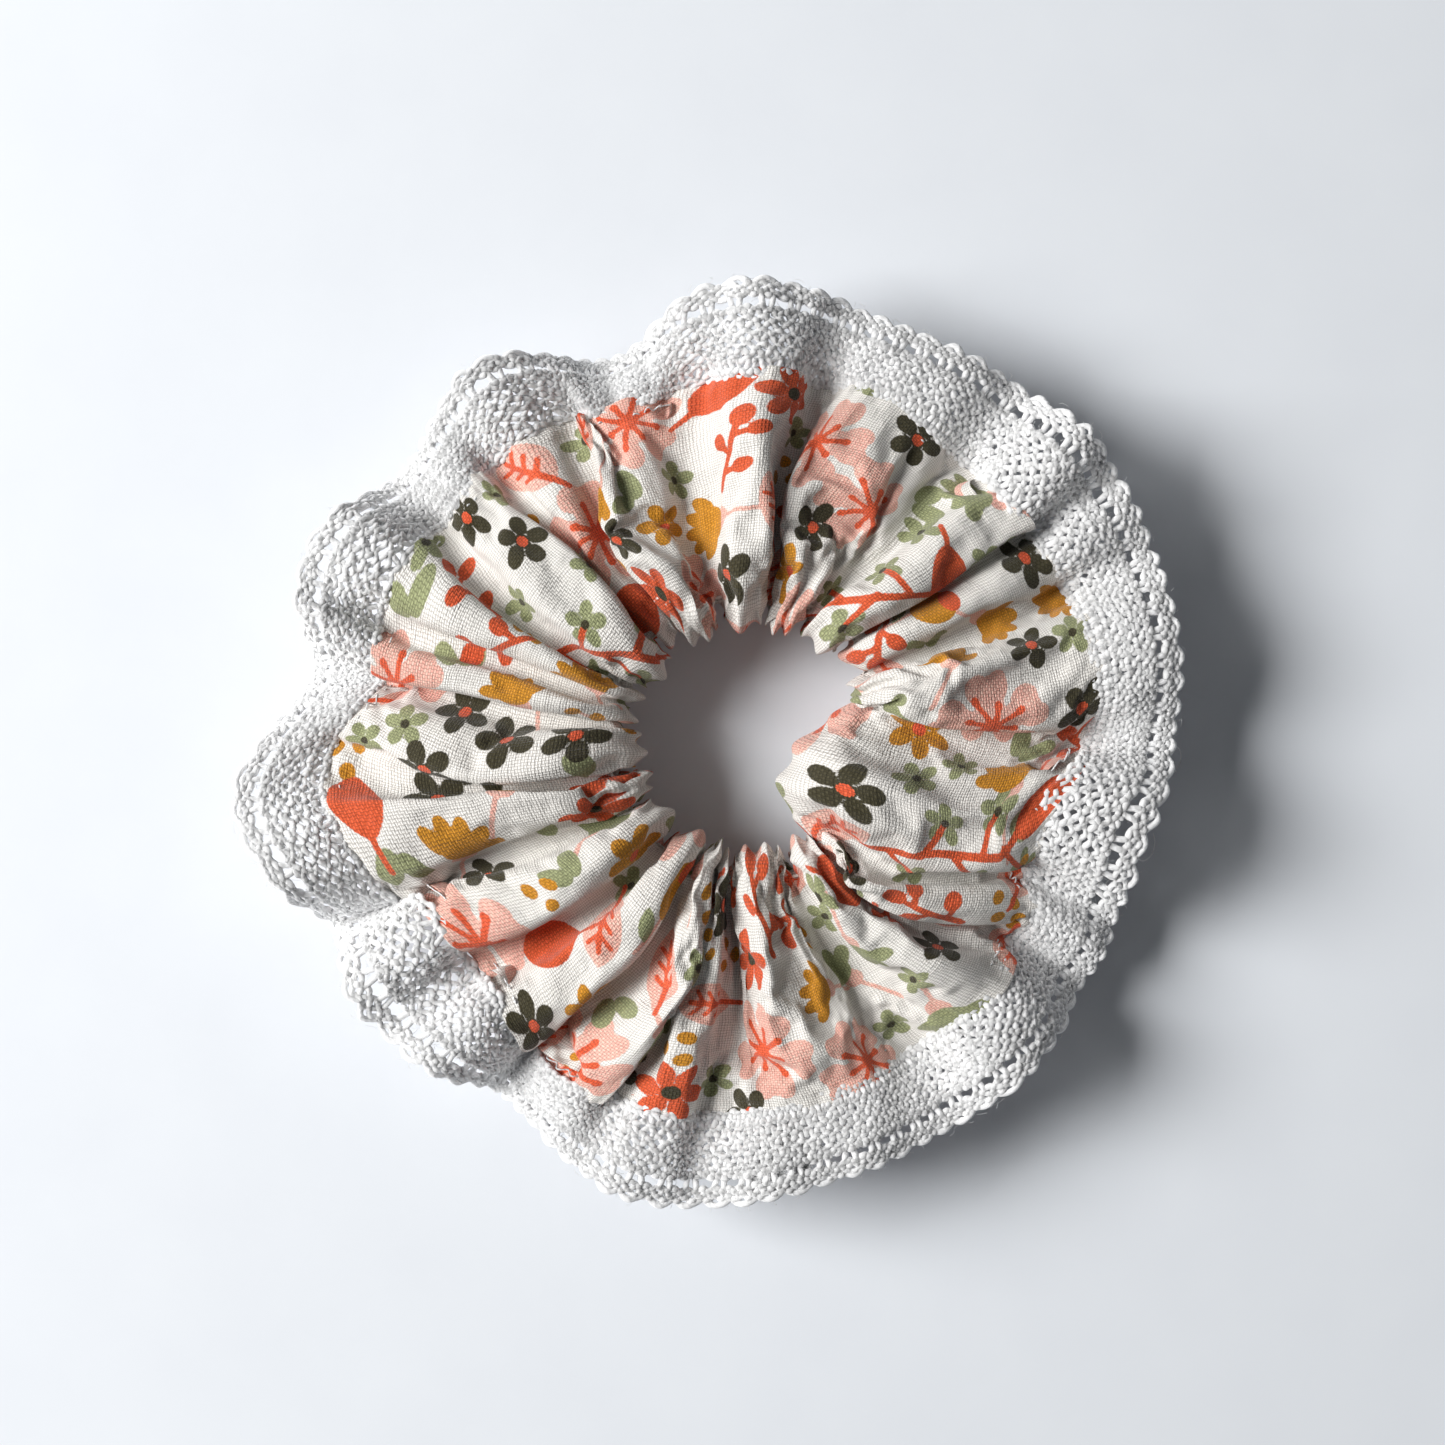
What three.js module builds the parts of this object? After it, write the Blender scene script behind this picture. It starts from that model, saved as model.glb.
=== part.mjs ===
// A lace-trimmed hair scrunchie, in millimetres, with +Z up.
//
// The origin is the middle of the hair opening, on the surface that the ring lies on.
//
// A strip of cotton is folded round a ring of flat elastic. Its two long edges are turned in and
// sewn together with the heading of a crochet lace between them, so the lace stands out of the
// outer seam. The elastic is much shorter than the strip, so the strip gathers into ruffles, and
// the outer seam and the lace wave up and down.
//
// The whole ring stretches. Each continuous piece is therefore made in lengths: one full sector at
// the join, five full sectors to each side of it, and two half sectors that meet opposite it.
// Neighbouring sectors face each other across a radial plane, square to the way that they part.

import * as THREE from "three";

// The ring
const SECTORS = 12; // full sectors in a turn, each holding one wave of the ruffle
const STEPS = 6; // stations along a full sector
const OPENING_RADIUS = 16.5; // the hair opening, relaxed
const SEAM_RADIUS = 50; // fold of the outer seam
const JOIN_ANGLE = -Math.PI / 2; // middle of the sector where every loop is joined
const CLEARANCE = 0.3; // between pieces that touch

// The casing
const FABRIC = 0.5; // thickness of the gathered cotton
const PUFF = 13; // half height of the gathers at their fullest
const PUFF_RISE = 0.5; // how steeply they rise from the opening
const PUFF_FALL = 1.2; // and fall to the seam
const MID_HEIGHT = 12; // height of the plane that the outer seam waves about
const SEAM_WAVE = 5; // amplitude of the wave at the seam
const WAVE_GROWTH = 1.5; // power of the way from the opening that the wave grows with
const SEAM_ALLOWANCE = 7; // width of the edges that are turned in

// The lace
const LACE = 0.9; // thickness
const LACE_REACH = 15; // width that stands out of the seam, at the points
const LACE_HEADING = 5.5; // width that is caught in the seam
const LACE_WAVE = 7; // amplitude of the wave at the points
const SCALLOP = 1.6; // depth of the lace's points
const LACE_OVERLAP = 9; // length of the end that lies over the join

// The elastic
const ELASTIC_SETBACK = 4; // from the opening to the middle of its thickness
const ELASTIC = 1.2; // thickness
const ELASTIC_WIDTH = 6;
const ELASTIC_OVERLAP = 8.5; // length of the end that is sewn over the join

// Threads
const THREAD = 0.5; // thickness of a row of stitches
const TACK_LENGTH = 6; // zigzag that joins the elastic
const TACK_WIDTH = 4.4;
const TACK_TURNS = 7; // legs of that zigzag
const CLOSING_LENGTH = 5.7; // row of hand stitches that closes the casing, on its underside
const CLOSING_TURNS = 8;
const CLOSING_SWING = 0.7; // half width of that row

const LACE_RADIUS = SEAM_RADIUS + LACE_REACH;
const ELASTIC_RADIUS = OPENING_RADIUS + ELASTIC_SETBACK;
const SECTOR = (2 * Math.PI) / SECTORS;
const SEAM_LIFT = LACE / 2 + 2 * CLEARANCE + FABRIC / 2; // turned-in edge above the middle of the lace
const FOLD_LIFT = SEAM_LIFT + FABRIC + CLEARANCE; // outer layer above the middle of the lace
// Where the casing's section has points, as shares of the way from the opening to the seam.
const CASING_STATIONS = [0.06, 0.17, 0.32, 0.5, 0.68, 0.84];

const materials = {
  cotton: new THREE.MeshStandardMaterial({ color: 0xf0e8dd, roughness: 0.9 }),
  lace: new THREE.MeshStandardMaterial({ color: 0xf6f7fa, roughness: 0.95 }),
  elastic: new THREE.MeshStandardMaterial({ color: 0xf2f0ea, roughness: 0.8 }),
  thread: new THREE.MeshStandardMaterial({ color: 0xfafafa, roughness: 0.7 }),
};

const scrunchie = new THREE.Group();

// Height of the waving middle plane at a radius and an angle.
function middle(radius, angle) {
  const share = (radius - OPENING_RADIUS) / (SEAM_RADIUS - OPENING_RADIUS);
  const past = Math.max(0, radius - SEAM_RADIUS) / (LACE_RADIUS - SEAM_RADIUS);
  const swing = share < 1 ? SEAM_WAVE * share ** WAVE_GROWTH : SEAM_WAVE + (LACE_WAVE - SEAM_WAVE) * past;
  return MID_HEIGHT + swing * Math.cos(SECTORS * (angle - JOIN_ANGLE));
}

// Half height of the casing, from 0 at the opening to the folded edge at the seam.
function puff(share) {
  const fullest = PUFF_RISE / (PUFF_RISE + PUFF_FALL);
  const shape = (x) => x ** PUFF_RISE * (1 - x) ** PUFF_FALL;
  return (PUFF * shape(share)) / shape(fullest) + FOLD_LIFT * share;
}

// The middle line of the folded strip at an angle: turned-in lower edge, underside, opening,
// top, turned-in upper edge. The underside is pressed flat where it lies on the surface.
function casingLine(angle) {
  const reach = SEAM_RADIUS - FABRIC / 2;
  const edge = (lift, radius) => new THREE.Vector2(radius, middle(radius, angle) + lift);
  const side = (share, sign) => {
    const radius = OPENING_RADIUS + share * (SEAM_RADIUS - OPENING_RADIUS);
    const height = middle(radius, angle) + sign * puff(share);
    return new THREE.Vector2(radius, Math.max(FABRIC / 2, height));
  };
  return [
    edge(-SEAM_LIFT, SEAM_RADIUS - SEAM_ALLOWANCE),
    edge(-SEAM_LIFT, reach),
    edge(-FOLD_LIFT, reach),
    ...[...CASING_STATIONS].reverse().map((share) => side(share, -1)),
    new THREE.Vector2(OPENING_RADIUS + FABRIC / 2, middle(OPENING_RADIUS, angle)),
    ...CASING_STATIONS.map((share) => side(share, 1)),
    edge(FOLD_LIFT, reach),
    edge(SEAM_LIFT, reach),
    edge(SEAM_LIFT, SEAM_RADIUS - SEAM_ALLOWANCE),
  ];
}

// The middle line of the lace at an angle, from its heading in the seam to its points.
function laceLine(angle, station) {
  const reach = LACE_RADIUS - (station % 2 ? 0 : SCALLOP);
  const radii = [SEAM_RADIUS - LACE_HEADING, SEAM_RADIUS, (SEAM_RADIUS + reach) / 2, reach];
  return radii.map((radius) => new THREE.Vector2(radius, middle(radius, angle)));
}

// A line across an upright band, such as the elastic, of a width and a radius.
function uprightLine(radius, height, width) {
  return [
    new THREE.Vector2(radius, height - width / 2),
    new THREE.Vector2(radius, height + width / 2),
  ];
}

// The outline of a band of a thickness that follows a line in the radius and height plane.
// Corners are mitred, so each straight face keeps its distance from the line.
function bandOutline(line, thickness) {
  const across = (from, to) => {
    const along = to.clone().sub(from).normalize();
    return new THREE.Vector2(-along.y, along.x);
  };
  const faces = [1, -1].map((side) =>
    line.map((point, i) => {
      const before = across(line[Math.max(i, 1) - 1], line[Math.max(i, 1)]);
      const after = i < line.length - 1 ? across(point, line[i + 1]) : before;
      const mitre = before.clone().add(after).normalize();
      const reach = ((side * thickness) / 2) / mitre.dot(before);
      return point.clone().addScaledVector(mitre, reach);
    }),
  );
  return [...faces[0], ...faces[1].reverse()];
}

// Stations of a sector from one angle to another. Its two ends stand back by half a clearance.
function stationsBetween(from, to, steps) {
  return Array.from({ length: steps + 1 }, (_, i) => ({
    angle: from + ((to - from) * i) / steps,
    back: i === 0 ? CLEARANCE / 2 : i === steps ? -CLEARANCE / 2 : 0,
  }));
}

// A closed solid: a band whose line is given at each station, swept round the opening.
function sweptBand(stations, lineAt, thickness) {
  const rings = stations.map(({ angle, back }, i) =>
    bandOutline(lineAt(angle, i), thickness).map((p) => {
      const x = p.x * Math.cos(angle) - back * Math.sin(angle);
      const y = p.x * Math.sin(angle) + back * Math.cos(angle);
      return new THREE.Vector3(x, y, p.y);
    }),
  );
  const count = rings[0].length;
  const index = [];
  for (let i = 0; i + 1 < rings.length; i++) {
    for (let j = 0; j < count; j++) {
      const a = i * count + j;
      const b = i * count + ((j + 1) % count);
      index.push(a, b, a + count, b, b + count, a + count);
    }
  }
  const last = (rings.length - 1) * count;
  for (let j = 0; j + 1 < count / 2; j++) {
    const [a, b, c, d] = [j, j + 1, count - 2 - j, count - 1 - j];
    index.push(a, c, b, a, d, c);
    index.push(last + a, last + b, last + c, last + a, last + c, last + d);
  }
  const geometry = new THREE.BufferGeometry().setFromPoints(rings.flat());
  geometry.setIndex(index);
  geometry.computeVertexNormals();
  return geometry;
}

function add(name, geometry, material) {
  const mesh = new THREE.Mesh(geometry, material);
  mesh.name = name;
  scrunchie.add(mesh);
}

// Every continuous piece, over the same sector.
function addSector(label, from, to, steps) {
  const stations = stationsBetween(from, to, steps);
  const stitchRadius = SEAM_RADIUS - SEAM_ALLOWANCE - CLEARANCE - THREAD;
  add(`casing_gather_${label}`, sweptBand(stations, casingLine, FABRIC), materials.cotton);
  add(`lace_ruffle_${label}`, sweptBand(stations, laceLine, LACE), materials.lace);
  const elasticLine = () => uprightLine(ELASTIC_RADIUS, MID_HEIGHT, ELASTIC_WIDTH);
  add(`elastic_link_${label}`, sweptBand(stations, elasticLine, ELASTIC), materials.elastic);
  const stitchLine = (angle) => uprightLine(stitchRadius, middle(stitchRadius, angle), THREAD);
  add(`seam_stitches_${label}`, sweptBand(stations, stitchLine, THREAD), materials.thread);
}

// A zigzag row of thread, flat in its own XY plane, running along X.
function zigzag(length, swing, turns) {
  const points = Array.from({ length: turns + 1 }, (_, i) => {
    return new THREE.Vector2((i / turns - 0.5) * length, i % 2 ? swing : -swing);
  });
  const shape = new THREE.Shape(bandOutline(points, THREAD));
  return new THREE.ExtrudeGeometry(shape, { depth: THREAD, bevelEnabled: false });
}

// The other end of the elastic, lapped over the outside of its join, and the zigzag that sews it.
function addElasticJoin() {
  const lapRadius = ELASTIC_RADIUS + ELASTIC + CLEARANCE;
  const half = ELASTIC_OVERLAP / 2 / lapRadius;
  const stations = stationsBetween(JOIN_ANGLE - half, JOIN_ANGLE + half, 4);
  const line = () => uprightLine(lapRadius, MID_HEIGHT, ELASTIC_WIDTH);
  add("elastic_lapped_end", sweptBand(stations, line, ELASTIC), materials.elastic);
  const tack = zigzag(TACK_LENGTH, TACK_WIDTH / 2, TACK_TURNS);
  tack.rotateX(Math.PI / 2);
  tack.translate(0, -(lapRadius + ELASTIC / 2 + CLEARANCE), MID_HEIGHT);
  add("elastic_tack_stitches", tack, materials.thread);
}

// The free end of the lace, lapped over the top of the lace where its two ends meet.
function addLaceJoin() {
  const half = LACE_OVERLAP / 2 / LACE_RADIUS;
  const stations = stationsBetween(JOIN_ANGLE - half, JOIN_ANGLE + half, 3);
  const lift = LACE + 2 * CLEARANCE;
  const line = (angle, station) =>
    laceLine(angle, station)
      .slice(1)
      .map((p, i) => new THREE.Vector2(i ? p.x : SEAM_RADIUS + CLEARANCE, p.y + lift));
  add("lace_lapped_end", sweptBand(stations, line, LACE), materials.lace);
}

// The hand stitches that close the casing, on the slope of its underside, running outwards.
function addClosingStitches() {
  const outer = casingLine(JOIN_ANGLE)[3];
  const inner = casingLine(JOIN_ANGLE)[4];
  const slope = Math.atan2(outer.y - inner.y, outer.x - inner.x);
  const row = zigzag(CLOSING_LENGTH, CLOSING_SWING, CLOSING_TURNS);
  row.translate(0, 0, -(FABRIC / 2 + 2 * CLEARANCE + THREAD));
  row.rotateY(-slope);
  row.translate((outer.x + inner.x) / 2, 0, (outer.y + inner.y) / 2);
  row.rotateZ(JOIN_ANGLE);
  add("closing_stitches", row, materials.thread);
}

const firstEnd = JOIN_ANGLE - SECTOR / 2;
const otherEnd = JOIN_ANGLE + SECTOR / 2;
addSector("join", firstEnd, otherEnd, STEPS);
for (let i = 1; i < SECTORS / 2; i++) {
  addSector(`a${i}`, otherEnd + (i - 1) * SECTOR, otherEnd + i * SECTOR, STEPS);
  addSector(`b${i}`, firstEnd - i * SECTOR, firstEnd - (i - 1) * SECTOR, STEPS);
}
const far = JOIN_ANGLE + Math.PI;
addSector(`a${SECTORS / 2}`, far - SECTOR / 2, far, STEPS / 2);
addSector(`b${SECTORS / 2}`, far, far + SECTOR / 2, STEPS / 2);
addElasticJoin();
addLaceJoin();
addClosingStitches();

export default scrunchie;
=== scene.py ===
import math

import bpy
import numpy as np
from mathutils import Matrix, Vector


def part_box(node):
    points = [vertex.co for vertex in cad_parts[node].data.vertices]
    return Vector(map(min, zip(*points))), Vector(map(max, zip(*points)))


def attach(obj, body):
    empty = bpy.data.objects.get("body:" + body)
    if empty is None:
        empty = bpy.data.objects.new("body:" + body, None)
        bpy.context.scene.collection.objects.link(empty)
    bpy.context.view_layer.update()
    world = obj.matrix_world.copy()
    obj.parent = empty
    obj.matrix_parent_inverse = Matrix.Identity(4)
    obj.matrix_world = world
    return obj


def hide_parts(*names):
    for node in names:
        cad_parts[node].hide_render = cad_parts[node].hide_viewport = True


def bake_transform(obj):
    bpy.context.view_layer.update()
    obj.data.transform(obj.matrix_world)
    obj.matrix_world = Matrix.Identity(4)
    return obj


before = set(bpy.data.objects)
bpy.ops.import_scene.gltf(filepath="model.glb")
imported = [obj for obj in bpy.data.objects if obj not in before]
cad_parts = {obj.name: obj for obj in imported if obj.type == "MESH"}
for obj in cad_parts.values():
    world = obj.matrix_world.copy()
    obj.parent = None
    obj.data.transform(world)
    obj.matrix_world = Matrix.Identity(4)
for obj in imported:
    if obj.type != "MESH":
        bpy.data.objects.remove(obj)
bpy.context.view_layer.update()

# A gathered cotton ring, an elastic inside it, and a crochet lace in its outer seam.
# Lengths in this script are millimetres, and angles are degrees anticlockwise from +X,
# until make_object() turns them into metres.
#
# The cloth is worked out in its own flat coordinates. "along" runs round the strip, and
# "across" runs from the outer seam (-LAYER) by the underside to the inner fold (0), and by the
# top to the outer seam again (+LAYER).

MM = 0.001

# ---------------------------------------------------------------- sizes

LAYER = 43.0  # flat width of the folded casing, from the inner fold to the outer seam
CELL = 0.45  # size of the cloth's faces
CLOTH_GAP = 0.35  # from the lace to the cloth on each side of it, at the seam
FLOOR_GAP = 0.25  # lowest point of the cloth
ELASTIC_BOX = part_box("elastic_link_a3")
ELASTIC_RADIUS = ELASTIC_BOX[1].x / MM - 0.6
ELASTIC_WIDTH = (ELASTIC_BOX[1].z - ELASTIC_BOX[0].z) / MM
ELASTIC_HEIGHT = (ELASTIC_BOX[1].z + ELASTIC_BOX[0].z) / 2 / MM
FOLD_RADIUS = ELASTIC_RADIUS - 1.3  # inner fold, in the valleys between the gathers
FOLD_HEIGHT = ELASTIC_HEIGHT + 0.5
SEAM_HEIGHT = 12.0  # mean height of the outer seam
VALLEY_RISE = 4.2  # from the inner fold up to the valleys on top
CREST_LIMIT = 7.2  # height of the tallest gather over its valleys
LACE_WIDTH = 13.6

# Each gather lies between two creases. A crease is its angle at the outer seam, halfway in and
# at the hole, then how far the gather after it leans anticlockwise, per unit of height, and how
# much cloth that gather has besides what it needs to lie flat.
CREASES = [
    (-1, -3, 21, 0.1, 3.5),
    (27, 27, 31, -0.3, 1.5),
    (37, 40, 46, -0.55, 6.0),
    (50, 59, 68, 0.2, 3.0),
    (81, 83, 84, -0.2, 4.5),
    (97, 101, 105, 0.75, 7.0),
    (123, 124, 123, 0.1, 1.0),
    (131, 132, 134, -0.3, 5.5),
    (150, 155, 157, -0.2, 3.0),
    (160, 163, 165, 0.3, 4.5),
    (168, 171, 174, 0.4, 3.5),
    (184, 190, 195, -0.3, 3.5),
    (205, 207, 209, 0.2, 6.0),
    (218, 224, 230, 0.45, 6.5),
    (233, 240, 248, 0.6, 5.0),
    (251, 253, 254, 0.2, 3.5),
    (262, 261, 259, 0.25, 4.0),
    (299, 292, 286, 0.3, 4.5),
    (321, 312, 300, 0.1, 1.5),
    (337, 322, 306, 0.0, 6.0),
]
PLAY = 1.16  # cloth that a gather needs for each unit of the seam that it spans
NOMINAL_SEAM_RADIUS = 50  # where the gathers' cloth is measured

# The outer seam and the lace wave up and down in lobes:
# (angle, radius of the seam, radius of the lace's points, height over the mean)
LOBES = [
    (14, 48.6, 61.5, 1.0),
    (38, 48.5, 63.5, 3.5),
    (68, 50.0, 61.8, 0.0),
    (97, 50.8, 63.2, 3.5),
    (110, 48.2, 58.0, -3.0),
    (125, 52.9, 65.2, 3.5),
    (143, 52.0, 63.2, -1.5),
    (157, 55.0, 68.2, 5.0),
    (172, 53.4, 64.4, -2.5),
    (188, 60.5, 73.4, 3.5),
    (197, 57.5, 69.5, 3.0),
    (205, 53.0, 66.5, -2.0),
    (214, 50.5, 67.2, 4.0),
    (235, 54.0, 63.5, -2.5),
    (257, 54.0, 66.6, 4.0),
    (280, 50.8, 63.0, 1.0),
    (305, 48.8, 61.0, 2.5),
    (331, 44.8, 58.8, -1.5),
    (345, 42.0, 56.5, 4.5),
    (357, 47.0, 59.5, 1.5),
]
# The gather after the last crease hangs loose into the hole: its middle's angle there, half its
# spread, and how far it reaches towards -X.
TONGUE = (343.5, 37.5, 11.5)


# ---------------------------------------------------------------- helpers


def closed_curve(stations, column):
    """A smooth function of an angle in degrees, through one column of a closed list of stations."""
    angle = np.array([row[0] for row in stations], float)
    value = np.array([row[column] for row in stations], float)
    order = np.argsort(angle % 360)
    angle = (angle % 360)[order]
    value = value[order]
    angle = np.concatenate([angle[-2:] - 360, angle, angle[:2] + 360])
    value = np.concatenate([value[-2:], value, value[:2]])
    slope = np.gradient(value, angle)

    def at(degrees):
        x = np.asarray(degrees, float) % 360
        i = np.clip(np.searchsorted(angle, x, side="right") - 1, 0, len(angle) - 2)
        width = angle[i + 1] - angle[i]
        t = (x - angle[i]) / width
        t2 = t * t
        t3 = t2 * t
        return (
            (2 * t3 - 3 * t2 + 1) * value[i]
            + (t3 - 2 * t2 + t) * width * slope[i]
            + (3 * t2 - 2 * t3) * value[i + 1]
            + (t3 - t2) * width * slope[i + 1]
        )

    return at


def smooth(x, low, high):
    """0 below low, 1 above high, and a smooth step between them."""
    t = np.clip((x - low) / (high - low), 0, 1)
    return t * t * (3 - 2 * t)


def lattice_noise(x, y, columns, seed):
    """Smooth noise from -1 to 1. It repeats along x every so many columns."""
    rows = 64
    lattice = np.random.default_rng(seed).uniform(-1, 1, (columns, rows))
    xi = np.floor(x).astype(int)
    yi = np.floor(y).astype(int)
    u = smooth(x - xi, 0, 1)
    v = smooth(y - yi, 0, 1)
    a = lattice[xi % columns, yi % rows]
    b = lattice[(xi + 1) % columns, yi % rows]
    c = lattice[xi % columns, (yi + 1) % rows]
    d = lattice[(xi + 1) % columns, (yi + 1) % rows]
    return (a * (1 - u) + b * u) * (1 - v) + (c * (1 - u) + d * u) * v


def unit(v):
    return v / np.maximum(np.linalg.norm(v, axis=-1, keepdims=True), 1e-9)


def grid_faces(columns, rows):
    """Faces between the points of a grid that is closed along its first axis."""
    index = np.arange(columns * rows).reshape(columns, rows)
    following = np.roll(index, -1, 0)
    corners = [index[:, :-1], following[:, :-1], following[:, 1:], index[:, 1:]]
    return np.stack(corners, -1).reshape(-1, 4)


def grid_normals(grid):
    """Normals of a grid of points that is closed along its first axis."""
    along = np.roll(grid, -1, 0) - np.roll(grid, 1, 0)
    across = np.gradient(grid, axis=1)
    return unit(np.cross(along, across))


# ---------------------------------------------------------------- the cloth's shape

seam_radius = closed_curve(LOBES, 1)
lace_radius = closed_curve(LOBES, 2)
seam_lift = closed_curve(LOBES, 3)


def crease_angles(share):
    """The creases' angles at a share of the way from the hole (0) to the seam (1)."""
    table = np.array([row[:3] for row in CREASES], float)
    seam, half, hole = table.T
    seam = np.append(seam, seam[0] + 360)
    half = np.append(half, half[0] + 360)
    hole = np.append(hole, hole[0] + 360)
    return (
        hole * (1 - share) * (1 - 2 * share)
        + half * 4 * share * (1 - share)
        + seam * share * (2 * share - 1)
    )


def gather_lengths():
    """Cloth in each gather, along the strip."""
    spans = np.diff(crease_angles(1.0))
    return PLAY * np.radians(spans) * NOMINAL_SEAM_RADIUS + np.array([row[4] for row in CREASES])


LENGTHS = gather_lengths()
STARTS = np.concatenate([[0], np.cumsum(LENGTHS)])
STRIP = STARTS[-1]  # flat length of the casing
COLUMNS = int(round(STRIP / CELL))
ROWS = 2 * int(round(LAYER / CELL)) + 1
ALONG = np.arange(COLUMNS) * STRIP / COLUMNS
ACROSS = np.linspace(-LAYER, LAYER, ROWS)
GATHER = np.clip(np.searchsorted(STARTS, ALONG, side="right") - 1, 0, len(LENGTHS) - 1)
PHASE = (ALONG - STARTS[GATHER]) / LENGTHS[GATHER]
# The angle of every column halfway in, as if its gathers were pulled flat.
PLAIN_ANGLE = crease_angles(0.5)[GATHER] + PHASE * np.diff(crease_angles(0.5))[GATHER]

WAVE_STEPS = 240
WAVE_PHASE = np.linspace(0, 1, WAVE_STEPS + 1)
VALLEY_TIGHTNESS = 0.62  # 0 makes valleys as wide as crests
WAVE_ANGLES = np.linspace(0, 1.85, 75)  # steepest slope of a gather's side, in radians


def gather_wave(steepest):
    """A gather's section: (sideways, up) for each WAVE_PHASE, per unit of cloth length."""
    warped = WAVE_PHASE + VALLEY_TIGHTNESS * np.sin(2 * np.pi * WAVE_PHASE) / (2 * np.pi)
    slope = steepest * np.sin(2 * np.pi * warped)
    middle = (slope[1:] + slope[:-1]) / 2
    sideways = np.concatenate([[0], np.cumsum(np.cos(middle))]) / WAVE_STEPS
    up = np.concatenate([[0], np.cumsum(np.sin(middle))]) / WAVE_STEPS
    return sideways, up


WAVES = [gather_wave(angle) for angle in WAVE_ANGLES]
WAVE_SPANS = np.array([wave[0][-1] for wave in WAVES])


def tongue_share(angle):
    """How much of the loose gather's reach a place round the hole has, from 0 to 1."""
    middle, spread, _ = TONGUE
    off = (angle - middle + 180) % 360 - 180
    return np.clip(1 - (off / spread) ** 2, 0, 1) ** 0.8


def section(t, seam, seam_height, side):
    """(radius, height) of the casing's section, for t from 0 at the inner fold to 1 at the seam."""
    rise = VALLEY_RISE if side > 0 else -VALLEY_RISE * 0.8
    bend = (seam - FOLD_RADIUS) * 0.45
    corners = [
        (FOLD_RADIUS, FOLD_HEIGHT),
        (FOLD_RADIUS, FOLD_HEIGHT + rise * 1.6),
        (FOLD_RADIUS + bend, FOLD_HEIGHT + rise * 1.3),
        (seam, seam_height),
    ]
    weights = [(1 - t) ** 3, 3 * (1 - t) ** 2 * t, 3 * (1 - t) * t**2, t**3]
    radius = sum(w * corner[0] for w, corner in zip(weights, corners))
    height = sum(w * corner[1] for w, corner in zip(weights, corners))
    return radius, height


MEAN_SEAM_RADIUS = 51.0


def even_steps(side):
    """Shares of the section's length, from the fold, at even steps of its t."""
    t = np.linspace(0, 1, 200)
    radius, height = section(t, MEAN_SEAM_RADIUS, SEAM_HEIGHT, side)
    return np.concatenate([[0], np.cumsum(np.hypot(np.diff(radius), np.diff(height)))]), t


SECTION_STEPS = {side: even_steps(side) for side in (-1, 1)}


def valley_profile(angle, share, side):
    """(radius, height) of the casing's section in the valleys between gathers."""
    run, t = SECTION_STEPS[side]
    even = np.interp(share * run[-1], run, t)
    return section(even, seam_radius(angle), SEAM_HEIGHT + seam_lift(angle), side)


def roughness(count, across, seed):
    """Noise along the strip, with so many lumps round it. It changes as "across" does."""
    return lattice_noise(ALONG * count / STRIP, across + 0 * ALONG, count, seed)


def fine_wave(length, wander):
    """Small waves along the strip, of about one length, pushed along by some noise."""
    return np.sin(2 * np.pi * ALONG / length + wander)


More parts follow.
